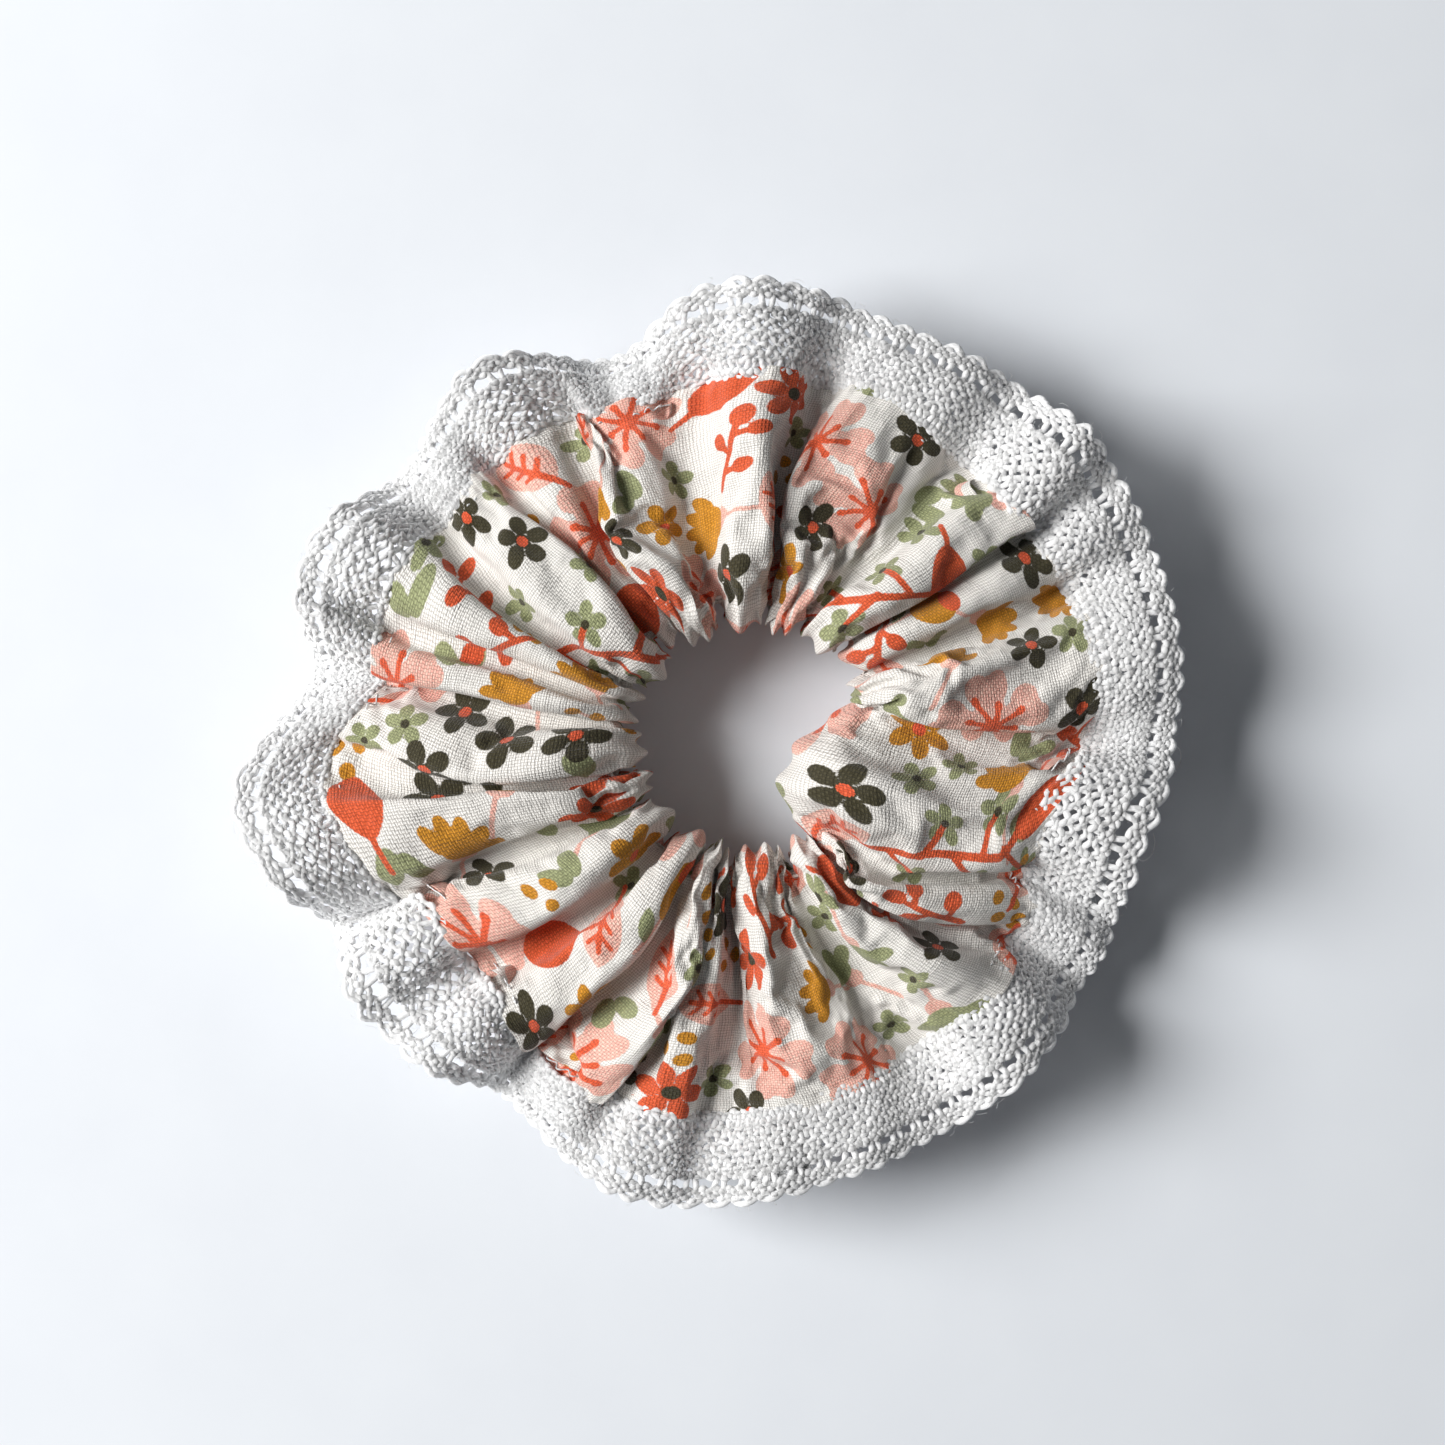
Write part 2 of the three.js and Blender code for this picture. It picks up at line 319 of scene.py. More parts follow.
def cloth_row(across):
    """Positions of one row of the cloth, for every column."""
    side = 1 if across >= 0 else -1
    share = abs(across) / LAYER
    creases = crease_angles(share)
    spans = np.diff(creases)
    base_angle = creases[GATHER] + PHASE * spans[GATHER]
    radius, _ = valley_profile(base_angle, share, side)
    angle = np.zeros(COLUMNS)
    up = np.zeros(COLUMNS)
    for i, length in enumerate(LENGTHS):
        mine = GATHER == i
        span = np.radians(spans[i]) * radius[mine].mean()
        steepest = np.interp(-span / length, -WAVE_SPANS, WAVE_ANGLES)
        wave_side, wave_up = gather_wave(steepest)
        angle[mine] = creases[i] + spans[i] * np.interp(PHASE[mine], WAVE_PHASE, wave_side / wave_side[-1])
        crest = wave_up.max() * length
        scale = length * min(1, CREST_LIMIT / max(crest, 1e-6))
        up[mine] = scale * np.interp(PHASE[mine], WAVE_PHASE, wave_up)
    # The gathers are held down where they wrap round the elastic.
    up = up * (0.5 + 0.5 * smooth(share, 0.0, 0.3))
    if side < 0:
        # The underside's gathers turn over, to meet the top layer's at the seam.
        up = up * (0.85 - 1.85 * smooth(share, 0.55, 1.0))
    lean = np.array([row[3] for row in CREASES])[GATHER]
    tangential = lean * up * (0.3 + 0.7 * smooth(share, 0.1, 0.5)) * (1 if side > 0 else 0.3)
    # Fine gathers round the hole and at the seam, and soft creases everywhere.
    fine = fine_wave(6.3, 3.0 * roughness(40, across / 22 + 7, 3))
    fine = fine * 0.75 * np.exp(-share / 0.25)
    if side < 0:
        ripple = fine_wave(9.0, 3 * roughness(30, across / 20 + 5, 4))
        fine = fine + 1.75 * ripple * smooth(share, 0.05, 0.3) * smooth(1 - share, 0.0, 0.25)
    seam_fine = 0.3 * fine_wave(4.1, 2 * roughness(60, 3, 5))
    seam_fine = seam_fine * np.exp(-(1 - share) / 0.1)
    radial = roughness(70, across / 16 + 20, 11) * 0.75
    small = roughness(150, across / 7 + 30, 12) * 0.28
    up = up + (fine + seam_fine + (radial + small) * smooth(share, 0.02, 0.2) * smooth(1 - share, 0.0, 0.2))
    # Displace along the section's outward normal.
    step = 0.01
    r0, z0 = valley_profile(angle, max(share - step, 0), side)
    r1, z1 = valley_profile(angle, min(share + step, 1), side)
    dr, dz = r1 - r0, z1 - z0
    size = np.hypot(dr, dz)
    normal_r, normal_z = -side * dz / size, side * dr / size
    if share < 1e-6:
        normal_r, normal_z = -np.ones(COLUMNS), np.zeros(COLUMNS)
    radius, height = valley_profile(angle, share, side)
    seam_drop = -1.6 * smooth(share, 0.7, 1.0)
    radius = radius + normal_r * up
    height = height + normal_z * up + seam_drop + side * CLOTH_GAP * smooth(share, 0.9, 1.0)
    # Lobes that stand up at the seam are broad on top and tuck in at their sides.
    slope = (seam_lift(angle + 2) - seam_lift(angle - 2)) / (np.radians(4) * NOMINAL_SEAM_RADIUS)
    tuck = -4.0 * slope * smooth(share, 0.45, 1.0)
    theta = np.radians(angle) + (tangential + tuck) / np.maximum(radius, 12)
    tongue = tongue_share(angle) * (1 - share) ** 2
    height = height + side * 3.0 * tongue * smooth(share, 0, 0.15) + 1.5 * tongue
    height = FLOOR_GAP + np.logaddexp(0, (height - FLOOR_GAP) / 0.8) * 0.8
    reach = TONGUE[2] * tongue
    return np.stack([radius * np.cos(theta) - reach, radius * np.sin(theta), height], -1)


def cloth_grid():
    return np.stack([cloth_row(across) for across in ACROSS], 1)


# ---------------------------------------------------------------- letting the cloth settle

SIM_CELL = 1.6
SIM_SCALE = 0.01  # the cloth is simulated at ten times its size, where the solver's limits suit it
SIM_FRAMES = 22
SETTLE_LIMIT = 6.0  # how far a point may move


def cubic_weights(t):
    """Shares of four neighbouring points in a smooth curve, at t from the second to the third."""
    return np.stack(
        [
            -0.5 * t**3 + t**2 - 0.5 * t,
            1.5 * t**3 - 2.5 * t**2 + 1,
            -1.5 * t**3 + 2 * t**2 + 0.5 * t,
            0.5 * t**3 - 0.5 * t**2,
        ],
        0,
    )


def resampled(grid, columns, rows):
    """A grid of points, closed along its first axis, at another number of columns and rows."""
    x = np.arange(columns) * grid.shape[0] / columns
    i = np.floor(x).astype(int)
    weights = cubic_weights(x - i)
    across_first = sum(w[:, None, None] * grid[(i + k - 1) % grid.shape[0]] for k, w in enumerate(weights))
    y = np.linspace(0, grid.shape[1] - 1, rows)
    j = np.minimum(np.floor(y).astype(int), grid.shape[1] - 2)
    weights = cubic_weights(y - j)
    last = grid.shape[1] - 1
    return sum(w[None, :, None] * across_first[:, np.clip(j + k - 1, 0, last)] for k, w in enumerate(weights))


def settled(grid):
    """The cloth after it has relaxed from its first folds, held at the elastic and at the seam."""
    columns = int(round(STRIP / SIM_CELL))
    rows = 2 * int(round(LAYER / SIM_CELL)) + 1
    across = np.linspace(-LAYER, LAYER, rows)
    start = resampled(grid, columns, rows)
    index = np.arange(columns * rows).reshape(columns, rows)
    mesh = bpy.data.meshes.new("settling")
    mesh.from_pydata((start.reshape(-1, 3) * SIM_SCALE).tolist(), [], grid_faces(columns, rows).tolist())
    obj = bpy.data.objects.new("settling", mesh)
    bpy.context.scene.collection.objects.link(obj)
    # The cloth wants its cut size: a plain hoop as long as the strip.
    turn = np.arange(columns) * 2 * np.pi / columns
    hoop = STRIP / (2 * np.pi)
    flat = np.zeros_like(start)
    flat[..., 0] = hoop * np.cos(turn)[:, None]
    flat[..., 1] = hoop * np.sin(turn)[:, None]
    flat[..., 2] = across[None]
    obj.shape_key_add(name="Basis")
    rest = obj.shape_key_add(name="flat")
    rest.data.foreach_set("co", (flat.reshape(-1, 3) * SIM_SCALE).astype(np.float32).ravel())
    held = obj.vertex_groups.new(name="held")
    fold = np.flatnonzero(np.abs(across) < 2.0)
    for row in [0, rows - 1, *fold]:
        held.add(index[:, row].tolist(), 1.0, "REPLACE")
    cloth = obj.modifiers.new("cloth", "CLOTH")
    settings = cloth.settings
    settings.quality = 6
    settings.mass = 0.15
    settings.tension_stiffness = 12
    settings.compression_stiffness = 12
    settings.shear_stiffness = 4
    settings.bending_stiffness = 0.35
    settings.tension_damping = 8
    settings.compression_damping = 8
    settings.shear_damping = 8
    settings.bending_damping = 1.0
    settings.air_damping = 3
    settings.vertex_group_mass = "held"
    settings.pin_stiffness = 1.0
    settings.rest_shape_key = rest
    settings.effector_weights.gravity = 0.3
    collision = cloth.collision_settings
    collision.use_collision = True
    collision.collision_quality = 2
    collision.distance_min = 0.004
    collision.use_self_collision = True
    collision.self_distance_min = 0.0045
    collision.self_friction = 3
    bpy.ops.mesh.primitive_plane_add(size=6, location=(0, 0, -0.002))
    table = bpy.context.object
    table.modifiers.new("collision", "COLLISION")
    table.collision.thickness_outer = 0.004
    scene = bpy.context.scene
    cloth.point_cache.frame_start = 1
    cloth.point_cache.frame_end = SIM_FRAMES + 1
    for number in range(1, SIM_FRAMES + 1):
        scene.frame_set(number)
    moved_mesh = obj.evaluated_get(bpy.context.evaluated_depsgraph_get()).to_mesh()
    points = np.zeros(columns * rows * 3)
    moved_mesh.vertices.foreach_get("co", points)
    points = points.reshape(columns, rows, 3) / SIM_SCALE
    scene.frame_set(1)
    bpy.data.objects.remove(obj)
    bpy.data.objects.remove(table)
    moved = points - start
    far = np.linalg.norm(moved, axis=-1, keepdims=True)
    moved = moved * (SETTLE_LIMIT * np.tanh(far / SETTLE_LIMIT) / np.maximum(far, 1e-6))
    return grid + resampled(moved, COLUMNS, ROWS)


# ---------------------------------------------------------------- making objects

# Twelve lengths reach from the middle of one body to the middle of the next.
LENGTHS_ROUND = 12
STEP_ANGLE = 360 / LENGTHS_ROUND
JOIN_ANGLE = 270
BODY_RING = ["join"] + [f"a{i}" for i in range(1, 7)]
BODY_PAIRS = [(BODY_RING[i], BODY_RING[i + 1]) for i in range(6)]
BODY_PAIRS += [(f"b{i}", f"b{i - 1}" if i > 1 else "join") for i in range(6, 0, -1)]


def turn_from_join(plain_angle):
    """How far round from the join, in lengths from 0 to 12."""
    return ((np.asarray(plain_angle) - JOIN_ANGLE) % 360) / STEP_ANGLE


COLUMN_TURN = turn_from_join(PLAIN_ANGLE)


def turn_at(along):
    """How far round from the join a place along the strip is, in lengths."""
    unwrapped = np.append(PLAIN_ANGLE, PLAIN_ANGLE[0] + 360)
    angle = np.interp(np.asarray(along) % STRIP, np.append(ALONG, STRIP), unwrapped)
    return turn_from_join(angle)


def along_at(turn):
    """The place along the strip that is so many lengths round from the join."""
    angle = (JOIN_ANGLE + turn * STEP_ANGLE - PLAIN_ANGLE[0]) % 360 + PLAIN_ANGLE[0]
    return float(np.interp(angle, np.append(PLAIN_ANGLE, PLAIN_ANGLE[0] + 360), np.append(ALONG, STRIP)))


class Shape:
    """Points, faces of four corners, and what is known at each point."""

    def __init__(self, points, faces, turns, uv, normals=None, fields=None):
        self.points = points
        self.faces = faces
        self.turns = turns
        self.uv = uv
        self.normals = normals
        self.fields = fields or {}

    def taking(self, faces):
        """The part of the shape that some of its faces make."""
        used, index = np.unique(faces, return_inverse=True)
        fields = {name: field[used] for name, field in self.fields.items()}
        normals = None if self.normals is None else self.normals[used]
        faces = index.reshape(faces.shape)
        return Shape(self.points[used], faces, self.turns[used], self.uv[used], normals, fields)


def join_shapes(shapes):
    offsets = np.cumsum([0] + [len(s.points) for s in shapes[:-1]])
    return Shape(
        np.concatenate([s.points for s in shapes]),
        np.concatenate([s.faces + o for s, o in zip(shapes, offsets)]),
        np.concatenate([s.turns for s in shapes]),
        np.concatenate([s.uv for s in shapes]),
    )


def make_object(name, shape, uv_name, material):
    mesh = bpy.data.meshes.new(name)
    mesh.from_pydata((shape.points * MM).tolist(), [], shape.faces.tolist())
    mesh.shade_smooth()
    layer = mesh.uv_layers.new(name=uv_name)
    layer.data.foreach_set("uv", shape.uv[shape.faces.ravel()].astype(np.float32).ravel())
    for field, values in shape.fields.items():
        mesh.attributes.new(field, "FLOAT", "POINT").data.foreach_set("value", values.astype(np.float32))
    if shape.normals is not None:
        mesh.normals_split_custom_set_from_vertices(shape.normals.tolist())
    mesh.materials.append(material)
    obj = bpy.data.objects.new(name, mesh)
    bpy.context.scene.collection.objects.link(obj)
    return obj


def make_lengths(prefix, shape, uv_name, material, node_prefix):
    """Cuts a shape that goes all the way round into twelve, each named for the two bodies it lies between."""
    corners = shape.turns[shape.faces]
    # A face that crosses the join has corners at both ends of the count.
    corners = np.where(corners - corners.min(1, keepdims=True) > 6, corners - LENGTHS_ROUND, corners)
    length_of_face = np.floor(corners.mean(1) % LENGTHS_ROUND).astype(int)
    made = []
    for length, (first, second) in enumerate(BODY_PAIRS):
        part = shape.taking(shape.faces[length_of_face == length])
        part.uv = part.uv.copy()
        middle = along_at(length + 0.5)
        if uv_name == "flat":
            part.uv[:, 0] = middle + (part.uv[:, 0] - middle + STRIP / 2) % STRIP - STRIP / 2
        obj = make_object(f"{prefix}_{first}_{second}", part, uv_name, material)
        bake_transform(obj)
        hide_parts(f"{node_prefix}_{second if length < 6 else first}")
        if length == 0:
            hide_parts(f"{node_prefix}_join")
        made.append(obj)
    return made


def ride_join(obj, node):
    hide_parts(node)
    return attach(obj, "join")


def tube(path, radius, up, turns, sides=6, closed=False):
    """A round yarn along a path. "up" gives its sides a direction to start from."""
    count = len(path)
    if closed:
        ahead, behind = np.roll(path, -1, 0), np.roll(path, 1, 0)
    else:
        ahead, behind = np.vstack([path[1:], path[-1:]]), np.vstack([path[:1], path[:-1]])
    forward = unit(ahead - behind)
    sideways = unit(np.cross(forward, up))
    upright = np.cross(sideways, forward)
    angle = np.linspace(0, 2 * np.pi, sides, endpoint=False)
    radius = np.broadcast_to(radius, (count,))[:, None, None]
    ring = sideways[:, None] * np.cos(angle)[:, None] + upright[:, None] * np.sin(angle)[:, None]
    points = path[:, None] + radius * ring
    run = np.concatenate([[0], np.cumsum(np.linalg.norm(np.diff(path, axis=0), axis=1))])
    uv = np.stack(np.broadcast_arrays(angle[None, :] / (2 * np.pi), run[:, None]), -1)
    index = np.arange(count * sides).reshape(count, sides)
    following = np.roll(index, -1, 0) if closed else index[1:]
    present = index if closed else index[:-1]
    faces = np.stack([present, np.roll(present, -1, 1), np.roll(following, -1, 1), following], -1)
    return Shape(points.reshape(-1, 3), faces.reshape(-1, 4), np.repeat(turns, sides), uv.reshape(-1, 2))


# ---------------------------------------------------------------- the printed pattern

# Each ink is a field over the flat cloth: the distance in millimetres to its nearest printed
# edge, negative inside. A later ink prints over an earlier one.
INKS = ["pink", "sage", "mustard", "red", "olive", "orange"]
BLANK = 3.0

# The kinds of motif on top of each gather, from the hole out to the seam.
GATHER_PRINT = [
    ["sage_leaves", "mustard_fan", "blossom", "dark_flower", "dark_flower"],
    ["berries", "dark_flower"],
    ["branch", "lemon_leaf", "sage_fan"],
    ["mustard_flower", "dark_flower", "blossom", "blossom", "dark_flower"],
    ["dark_flower", "pink_leaf", "berries", "red_flower"],
    ["red_flower", "mustard_flower", "mustard_fan", "blossom"],
    ["lemon_leaf", "pink_leaf"],
    ["branch", "sage_flower", "dark_flower", "dark_flower"],
    ["mustard_fan", "berries", "sage_leaves"],
    ["mustard_dots", "blossom"],
    ["sage_leaves", "dark_flower", "dark_flower", "sage_flower"],
    ["red_flower", "mustard_fan", "mustard_fan", "lemon_leaf"],
    ["mustard_flower", "mustard_dots", "blossom"],
    ["bulb", "pink_leaf", "mustard_flower", "dark_flower"],
    ["mustard_dots", "pink_leaf", "sage_fan", "blossom"],
    ["dark_flower", "pink_leaf", "red_flower"],
    ["berries", "red_flower", "mustard_fan", "blossom", "blossom"],
    ["lemon_leaf", "sage_fan", "dark_flower", "sage_fan"],
    ["dark_flower", "berries", "mustard_dots"],
    ["dark_flower", "sage_flower", "branch", "mustard_fan", "sage_leaves"],
]
NEAREST = 0.2  # share of the way from the inner fold to the seam where a gather's motifs start
FARTHEST = 0.9
SIDES = (0.3, 0.5, 0.7)  # shares of a gather's length where a motif may lie


def polar(distance, degrees):
    return distance * math.cos(math.radians(degrees)), distance * math.sin(math.radians(degrees))


def ellipse(centre, radii, turn=0):
    """The distance function of an ellipse, near enough for an edge."""
    c, s = math.cos(math.radians(turn)), math.sin(math.radians(turn))

    def distance(x, y):
        u = ((x - centre[0]) * c + (y - centre[1]) * s) / radii[0]
        v = ((y - centre[1]) * c - (x - centre[0]) * s) / radii[1]
        k = np.sqrt(u * u + v * v) + 1e-6
        g = np.sqrt((u / radii[0]) ** 2 + (v / radii[1]) ** 2) + 1e-6
        return np.where(k < 0.4, -0.6 * min(radii), k * (k - 1) / g)

    return distance


def stroke(start, end, width):
    """The distance function of a line with round ends."""
    dx, dy = end[0] - start[0], end[1] - start[1]
    square = dx * dx + dy * dy

    def distance(x, y):
        t = np.clip(((x - start[0]) * dx + (y - start[1]) * dy) / square, 0, 1)
        return np.hypot(x - start[0] - t * dx, y - start[1] - t * dy) - width / 2

    return distance


def leaf(base, length, width, turn):
    """The distance function of a leaf with two pointed ends, from its base."""
    c, s = math.cos(math.radians(turn)), math.sin(math.radians(turn))
    radius = (length * length + width * width) / (4 * width)
    inset = radius - width / 2

    def distance(x, y):
        u = (x - base[0]) * c + (y - base[1]) * s - length / 2
        v = (y - base[1]) * c - (x - base[0]) * s
        return np.hypot(u, np.abs(v) + inset) - radius

    return distance


def petals(ink, count, distance, radii, turn=90):
    angles = [turn + 360 * i / count for i in range(count)]
    return [(ink, ellipse(polar(distance, a), radii, a)) for a in angles]


def flower(ink, heart, radius, count):
    shapes = petals(ink, count, radius * 0.62, (radius * 0.39, radius * 1.55 / count))
    shapes.append((ink, ellipse((0, 0), (radius * 0.28, radius * 0.28))))
    shapes.append((heart, ellipse((0, 0), (radius * 0.21, radius * 0.21))))
    return shapes


def blossom():
    """Five petals, each with a notch in its end, and a star of stamens."""
    shapes = petals("pink", 5, 3.7, (3.0, 1.9)) + [("pink", ellipse((0, 0), (1.6, 1.6)))]
    for side in (-1, 1):
        shapes += petals("pink", 5, 5.3, (2.0, 1.55), 90 + 14 * side)
    for i in range(8):
        reach = (4.0, 2.9)[i % 2]
        angle = 45 * i + 12
        shapes.append(("orange", stroke((0, 0), polar(reach, angle), 0.68)))
        shapes.append(("orange", ellipse(polar(reach, angle), (0.62, 0.5), angle)))
    return shapes


def branch():
    shapes = [
        ("red", stroke((0, -11), (0.8, -2), 0.95)),
        ("red", stroke((0.8, -2), (-0.3, 7), 0.95)),
        ("red", stroke((-0.3, 7), (0.6, 11), 0.9)),
        ("red", leaf((0.6, 10.5), 8.6, 5.6, 75)),
    ]
    for i, height in enumerate((-8, -4, 0, 4, 8)):
        side = 1 if i % 2 else -1
        tip = (side * 4.2, height + 3.4)
        shapes.append(("red", stroke((0.3, height), tip, 0.8)))
        for ink, shape in flower("sage", "olive", 2.7, 5):
            shapes.append((ink, moved(shape, tip)))
    return shapes


def fan(ink):
    shapes = [(ink, ellipse(polar(3.3, a), (1.75, 0.95), a)) for a in (28, 59, 90, 121, 152)]
    shapes.append((ink, ellipse((0, 1.3), (2.5, 2.2))))
    shapes.append(("pink", ellipse((0, -1.1), (1.5, 1.5))))
    shapes.append(("pink", stroke((0, -2), (0.6, -8.5), 0.55)))
    return shapes


def lemon_leaf():
    return [("red", leaf((0, -4.6), 9.4, 6.4, 90)), ("red", stroke((0, -7), (0, -4), 0.7))]


def pink_leaf():
    shapes = [("pink", leaf((0, -4.8), 9.8, 5.6, 90)), ("orange", stroke((0, -6.5), (0, 3.2), 0.65))]
    for height in (-2.4, -0.6, 1.2):
        for side in (-1, 1):
            shapes.append(("orange", stroke((0, height), (side * 1.5, height + 1.4), 0.55)))
    return shapes


def bulb():
    shapes = [("mustard", ellipse((0, 0), (2.6, 3.5))), ("red", ellipse((0, 2.7), (1.6, 1.5)))]
    shapes.append(("pink", stroke((0, -3), (-0.8, -8), 0.6)))
    shapes.append(("sage", leaf((-0.6, -6.5), 4.2, 2.0, 40)))
    return shapes


def berries():
    shapes = [("red", stroke((0, -5.5), (0.3, 4.0), 0.85)), ("red", ellipse((0.3, 4.8), (1.35, 1.6)))]
    for i, height in enumerate((-3.2, -0.6, 2.0)):
        side = 1 if i % 2 else -1
        tip = (side * 2.3, height + 1.5)
        shapes.append(("red", stroke((0.1, height), tip, 0.75)))
        shapes.append(("red", ellipse(tip, (1.35, 1.05), 35 * side)))
    return shapes


def sage_leaves():
    return [("sage", ellipse((-1.5, 0.8), (2.2, 1.35), 120)), ("sage", ellipse((1.6, 0.6), (2.1, 1.3), 50))]


def mustard_dots():
    return [("mustard", ellipse(c, (1.0, 0.8), 30 * c[0])) for c in ((0, 1.6), (-1.5, -0.6), (1.4, -0.8))]


def moved(shape, by):
    return lambda x, y: shape(x - by[0], y - by[1])


# Each kind's shapes, how far they reach and the room they keep from their neighbours.
KINDS = {
    "blossom": (blossom(), 8.5, 7.2),
    "branch": (branch(), 20.0, 10.5),
    "red_flower": (flower("red", "olive", 4.5, 6), 5.5, 4.6),
    "dark_flower": (flower("olive", "orange", 3.8, 5), 5.0, 4.0),
    "lemon_leaf": (lemon_leaf(), 8.0, 4.6),
    "mustard_fan": (fan("mustard"), 9.5, 5.0),
    "mustard_flower": (flower("mustard", "orange", 3.9, 6), 5.0, 4.1),
    "pink_leaf": (pink_leaf(), 7.5, 4.8),
    "bulb": (bulb(), 9.0, 4.6),
    "sage_fan": (fan("sage"), 9.5, 5.0),
    "berries": (berries(), 7.5, 4.4),
    "sage_flower": (flower("sage", "olive", 2.8, 5), 4.0, 3.0),
    "sage_leaves": (sage_leaves(), 5.0, 3.0),
    "mustard_dots": (mustard_dots(), 4.0, 2.5),
}


MOTIF_SIZE = 1.22
CROWDING = 1.4  # how far fillers may reach into the room of their neighbours


class Print:
    """The ink fields of the whole strip."""

    def __init__(self):
        self.fields = {ink: np.full((COLUMNS, ROWS), BLANK) for ink in INKS}
        self.placed = []

    def room(self, along, across, radius):
        """The gap to the nearest motif, less the room that both keep."""
        if not self.placed:
            return 99
        there = np.array(self.placed)
        off = (there[:, 0] - along + STRIP / 2) % STRIP - STRIP / 2
        return (np.hypot(off, there[:, 1] - across) - there[:, 2] - radius).min()

    def stamp(self, kind, along, across, turn, size=MOTIF_SIZE):
        shapes, reach, radius = KINDS[kind]
        count = int(reach * size / CELL) + 2
        column = int(round(along / CELL))
        row = int(round((across + LAYER) / CELL))
        columns = np.arange(column - count, column + count + 1)
        rows = np.arange(max(row - count, 0), min(row + count + 1, ROWS))
        x = columns[:, None] * STRIP / COLUMNS - along
        y = ACROSS[rows][None, :] - across
        c, s = math.cos(math.radians(turn)), math.sin(math.radians(turn))
        u, v = (x * c + y * s) / size, (y * c - x * s) / size
        block = np.ix_(columns % COLUMNS, rows)
        for ink, distance in shapes:
            field = self.fields[ink]
            field[block] = np.minimum(field[block], distance(u, v) * size)
        self.placed.append((along, across, radius * size))


def print_strip():
    """The ink fields: each gather's own motifs, each on the side with the most room, then fillers."""
    print_ = Print()
    random = np.random.default_rng(41)
    for gather, kinds in enumerate(GATHER_PRINT):
        for kind, share in zip(kinds, np.linspace(NEAREST, FARTHEST, len(kinds))):
            radius = KINDS[kind][2] * MOTIF_SIZE
            places = [STARTS[gather] + side * LENGTHS[gather] for side in SIDES]
            along = max(places, key=lambda place: print_.room(place, share * LAYER, radius))
            print_.stamp(kind, along, share * LAYER, random.uniform(0, 360))
    fillers = [
        ("blossom", 500), ("branch", 200), ("pink_leaf", 350), ("mustard_fan", 400), ("sage_fan", 300),
        ("berries", 400), ("red_flower", 400), ("dark_flower", 700), ("mustard_flower", 500),
        ("bulb", 300), ("lemon_leaf", 400), ("sage_flower", 900), ("sage_leaves", 900), ("mustard_dots", 600),
    ]
    for kind, tries in fillers:
        for _ in range(tries):
            along, across = random.uniform(0, STRIP), random.uniform(-LAYER, LAYER)
            turn, size = random.uniform(0, 360), MOTIF_SIZE * random.uniform(0.92, 1.08)
            if print_.room(along, across, KINDS[kind][2] * size) > -CROWDING:
                print_.stamp(kind, along, across, turn, size)
    return print_.fields


# ---------------------------------------------------------------- the lace

NET_REPEATS = int(round(STRIP / 1.95))  # small holes in a row
NET_PITCH = STRIP / NET_REPEATS
EYELET_REPEATS = NET_REPEATS // 2
EYELET_PITCH = STRIP / EYELET_REPEATS
YARN = 0.46  # radius of the lace's yarn
LACE_ROWS = np.linspace(-2.5, LACE_WIDTH + 0.8, 34)  # widths at which the lace's surface is known


def soften(values, spread):
    """Blurs values along the strip, which is closed."""
    size = len(values)
    rate = np.fft.rfftfreq(size, STRIP / size)
    keep = np.exp(-2 * (np.pi * rate * spread) ** 2)
    if values.ndim > 1:
        keep = keep[:, None]
    return np.fft.irfft(np.fft.rfft(values, axis=0) * keep, size, axis=0)


def lace_surface(grid):
    """Points of the lace's middle surface, for every column and every one of LACE_ROWS."""
    seam = (grid[:, 0] + grid[:, -1]) / 2
    seam = soften(seam, 0.5)
    angle = np.unwrap(np.arctan2(seam[:, 1], seam[:, 0]))
    even = np.arange(COLUMNS) * 2 * np.pi / COLUMNS
    outer_angle = soften(angle - even, 7.0) + even
    degrees = np.degrees(outer_angle)
    outer_radius = lace_radius(degrees)
    lift = seam_lift(degrees)
    # Lobes that stand up keep more of the seam's gathers than those that lie low.
    height = soften(seam[:, 2], 2.2)
    seam_out = np.hypot(seam[:, 0], seam[:, 1])
    level = np.clip(soften(outer_radius - seam_out, 2.0), 2.0, LACE_WIDTH * 0.97)
    drop = np.sqrt(LACE_WIDTH**2 - level**2)
    outer_height = height + drop * np.clip(lift / 3.0, -0.5, 0.9) - 0.6
    ripple = 0.9 * roughness(60, 2, 21)
    outer_height = 0.7 + np.logaddexp(0, (outer_height + ripple - 0.7) / 0.8) * 0.8
    outer_x, outer_y = outer_radius * np.cos(outer_angle), outer_radius * np.sin(outer_angle)
    outer = np.stack([outer_x, outer_y, outer_height], -1)
    share = (LACE_ROWS / LACE_WIDTH)[None, :, None]
    surface = seam[:, None] * (1 - share) + outer[:, None] * share
    arch = 1.3 * np.sin(np.pi * np.clip(share[..., 0], 0, 1))
    crumple = 0.35 * lattice_noise(ALONG[:, None] * 110 / STRIP, LACE_ROWS[None] / 5 + 9, 110, 22)
    surface[..., 2] += arch + crumple * np.clip(share[..., 0] * 4, 0, 1)
    surface[..., 2] = np.maximum(surface[..., 2], 0.45)
    return surface


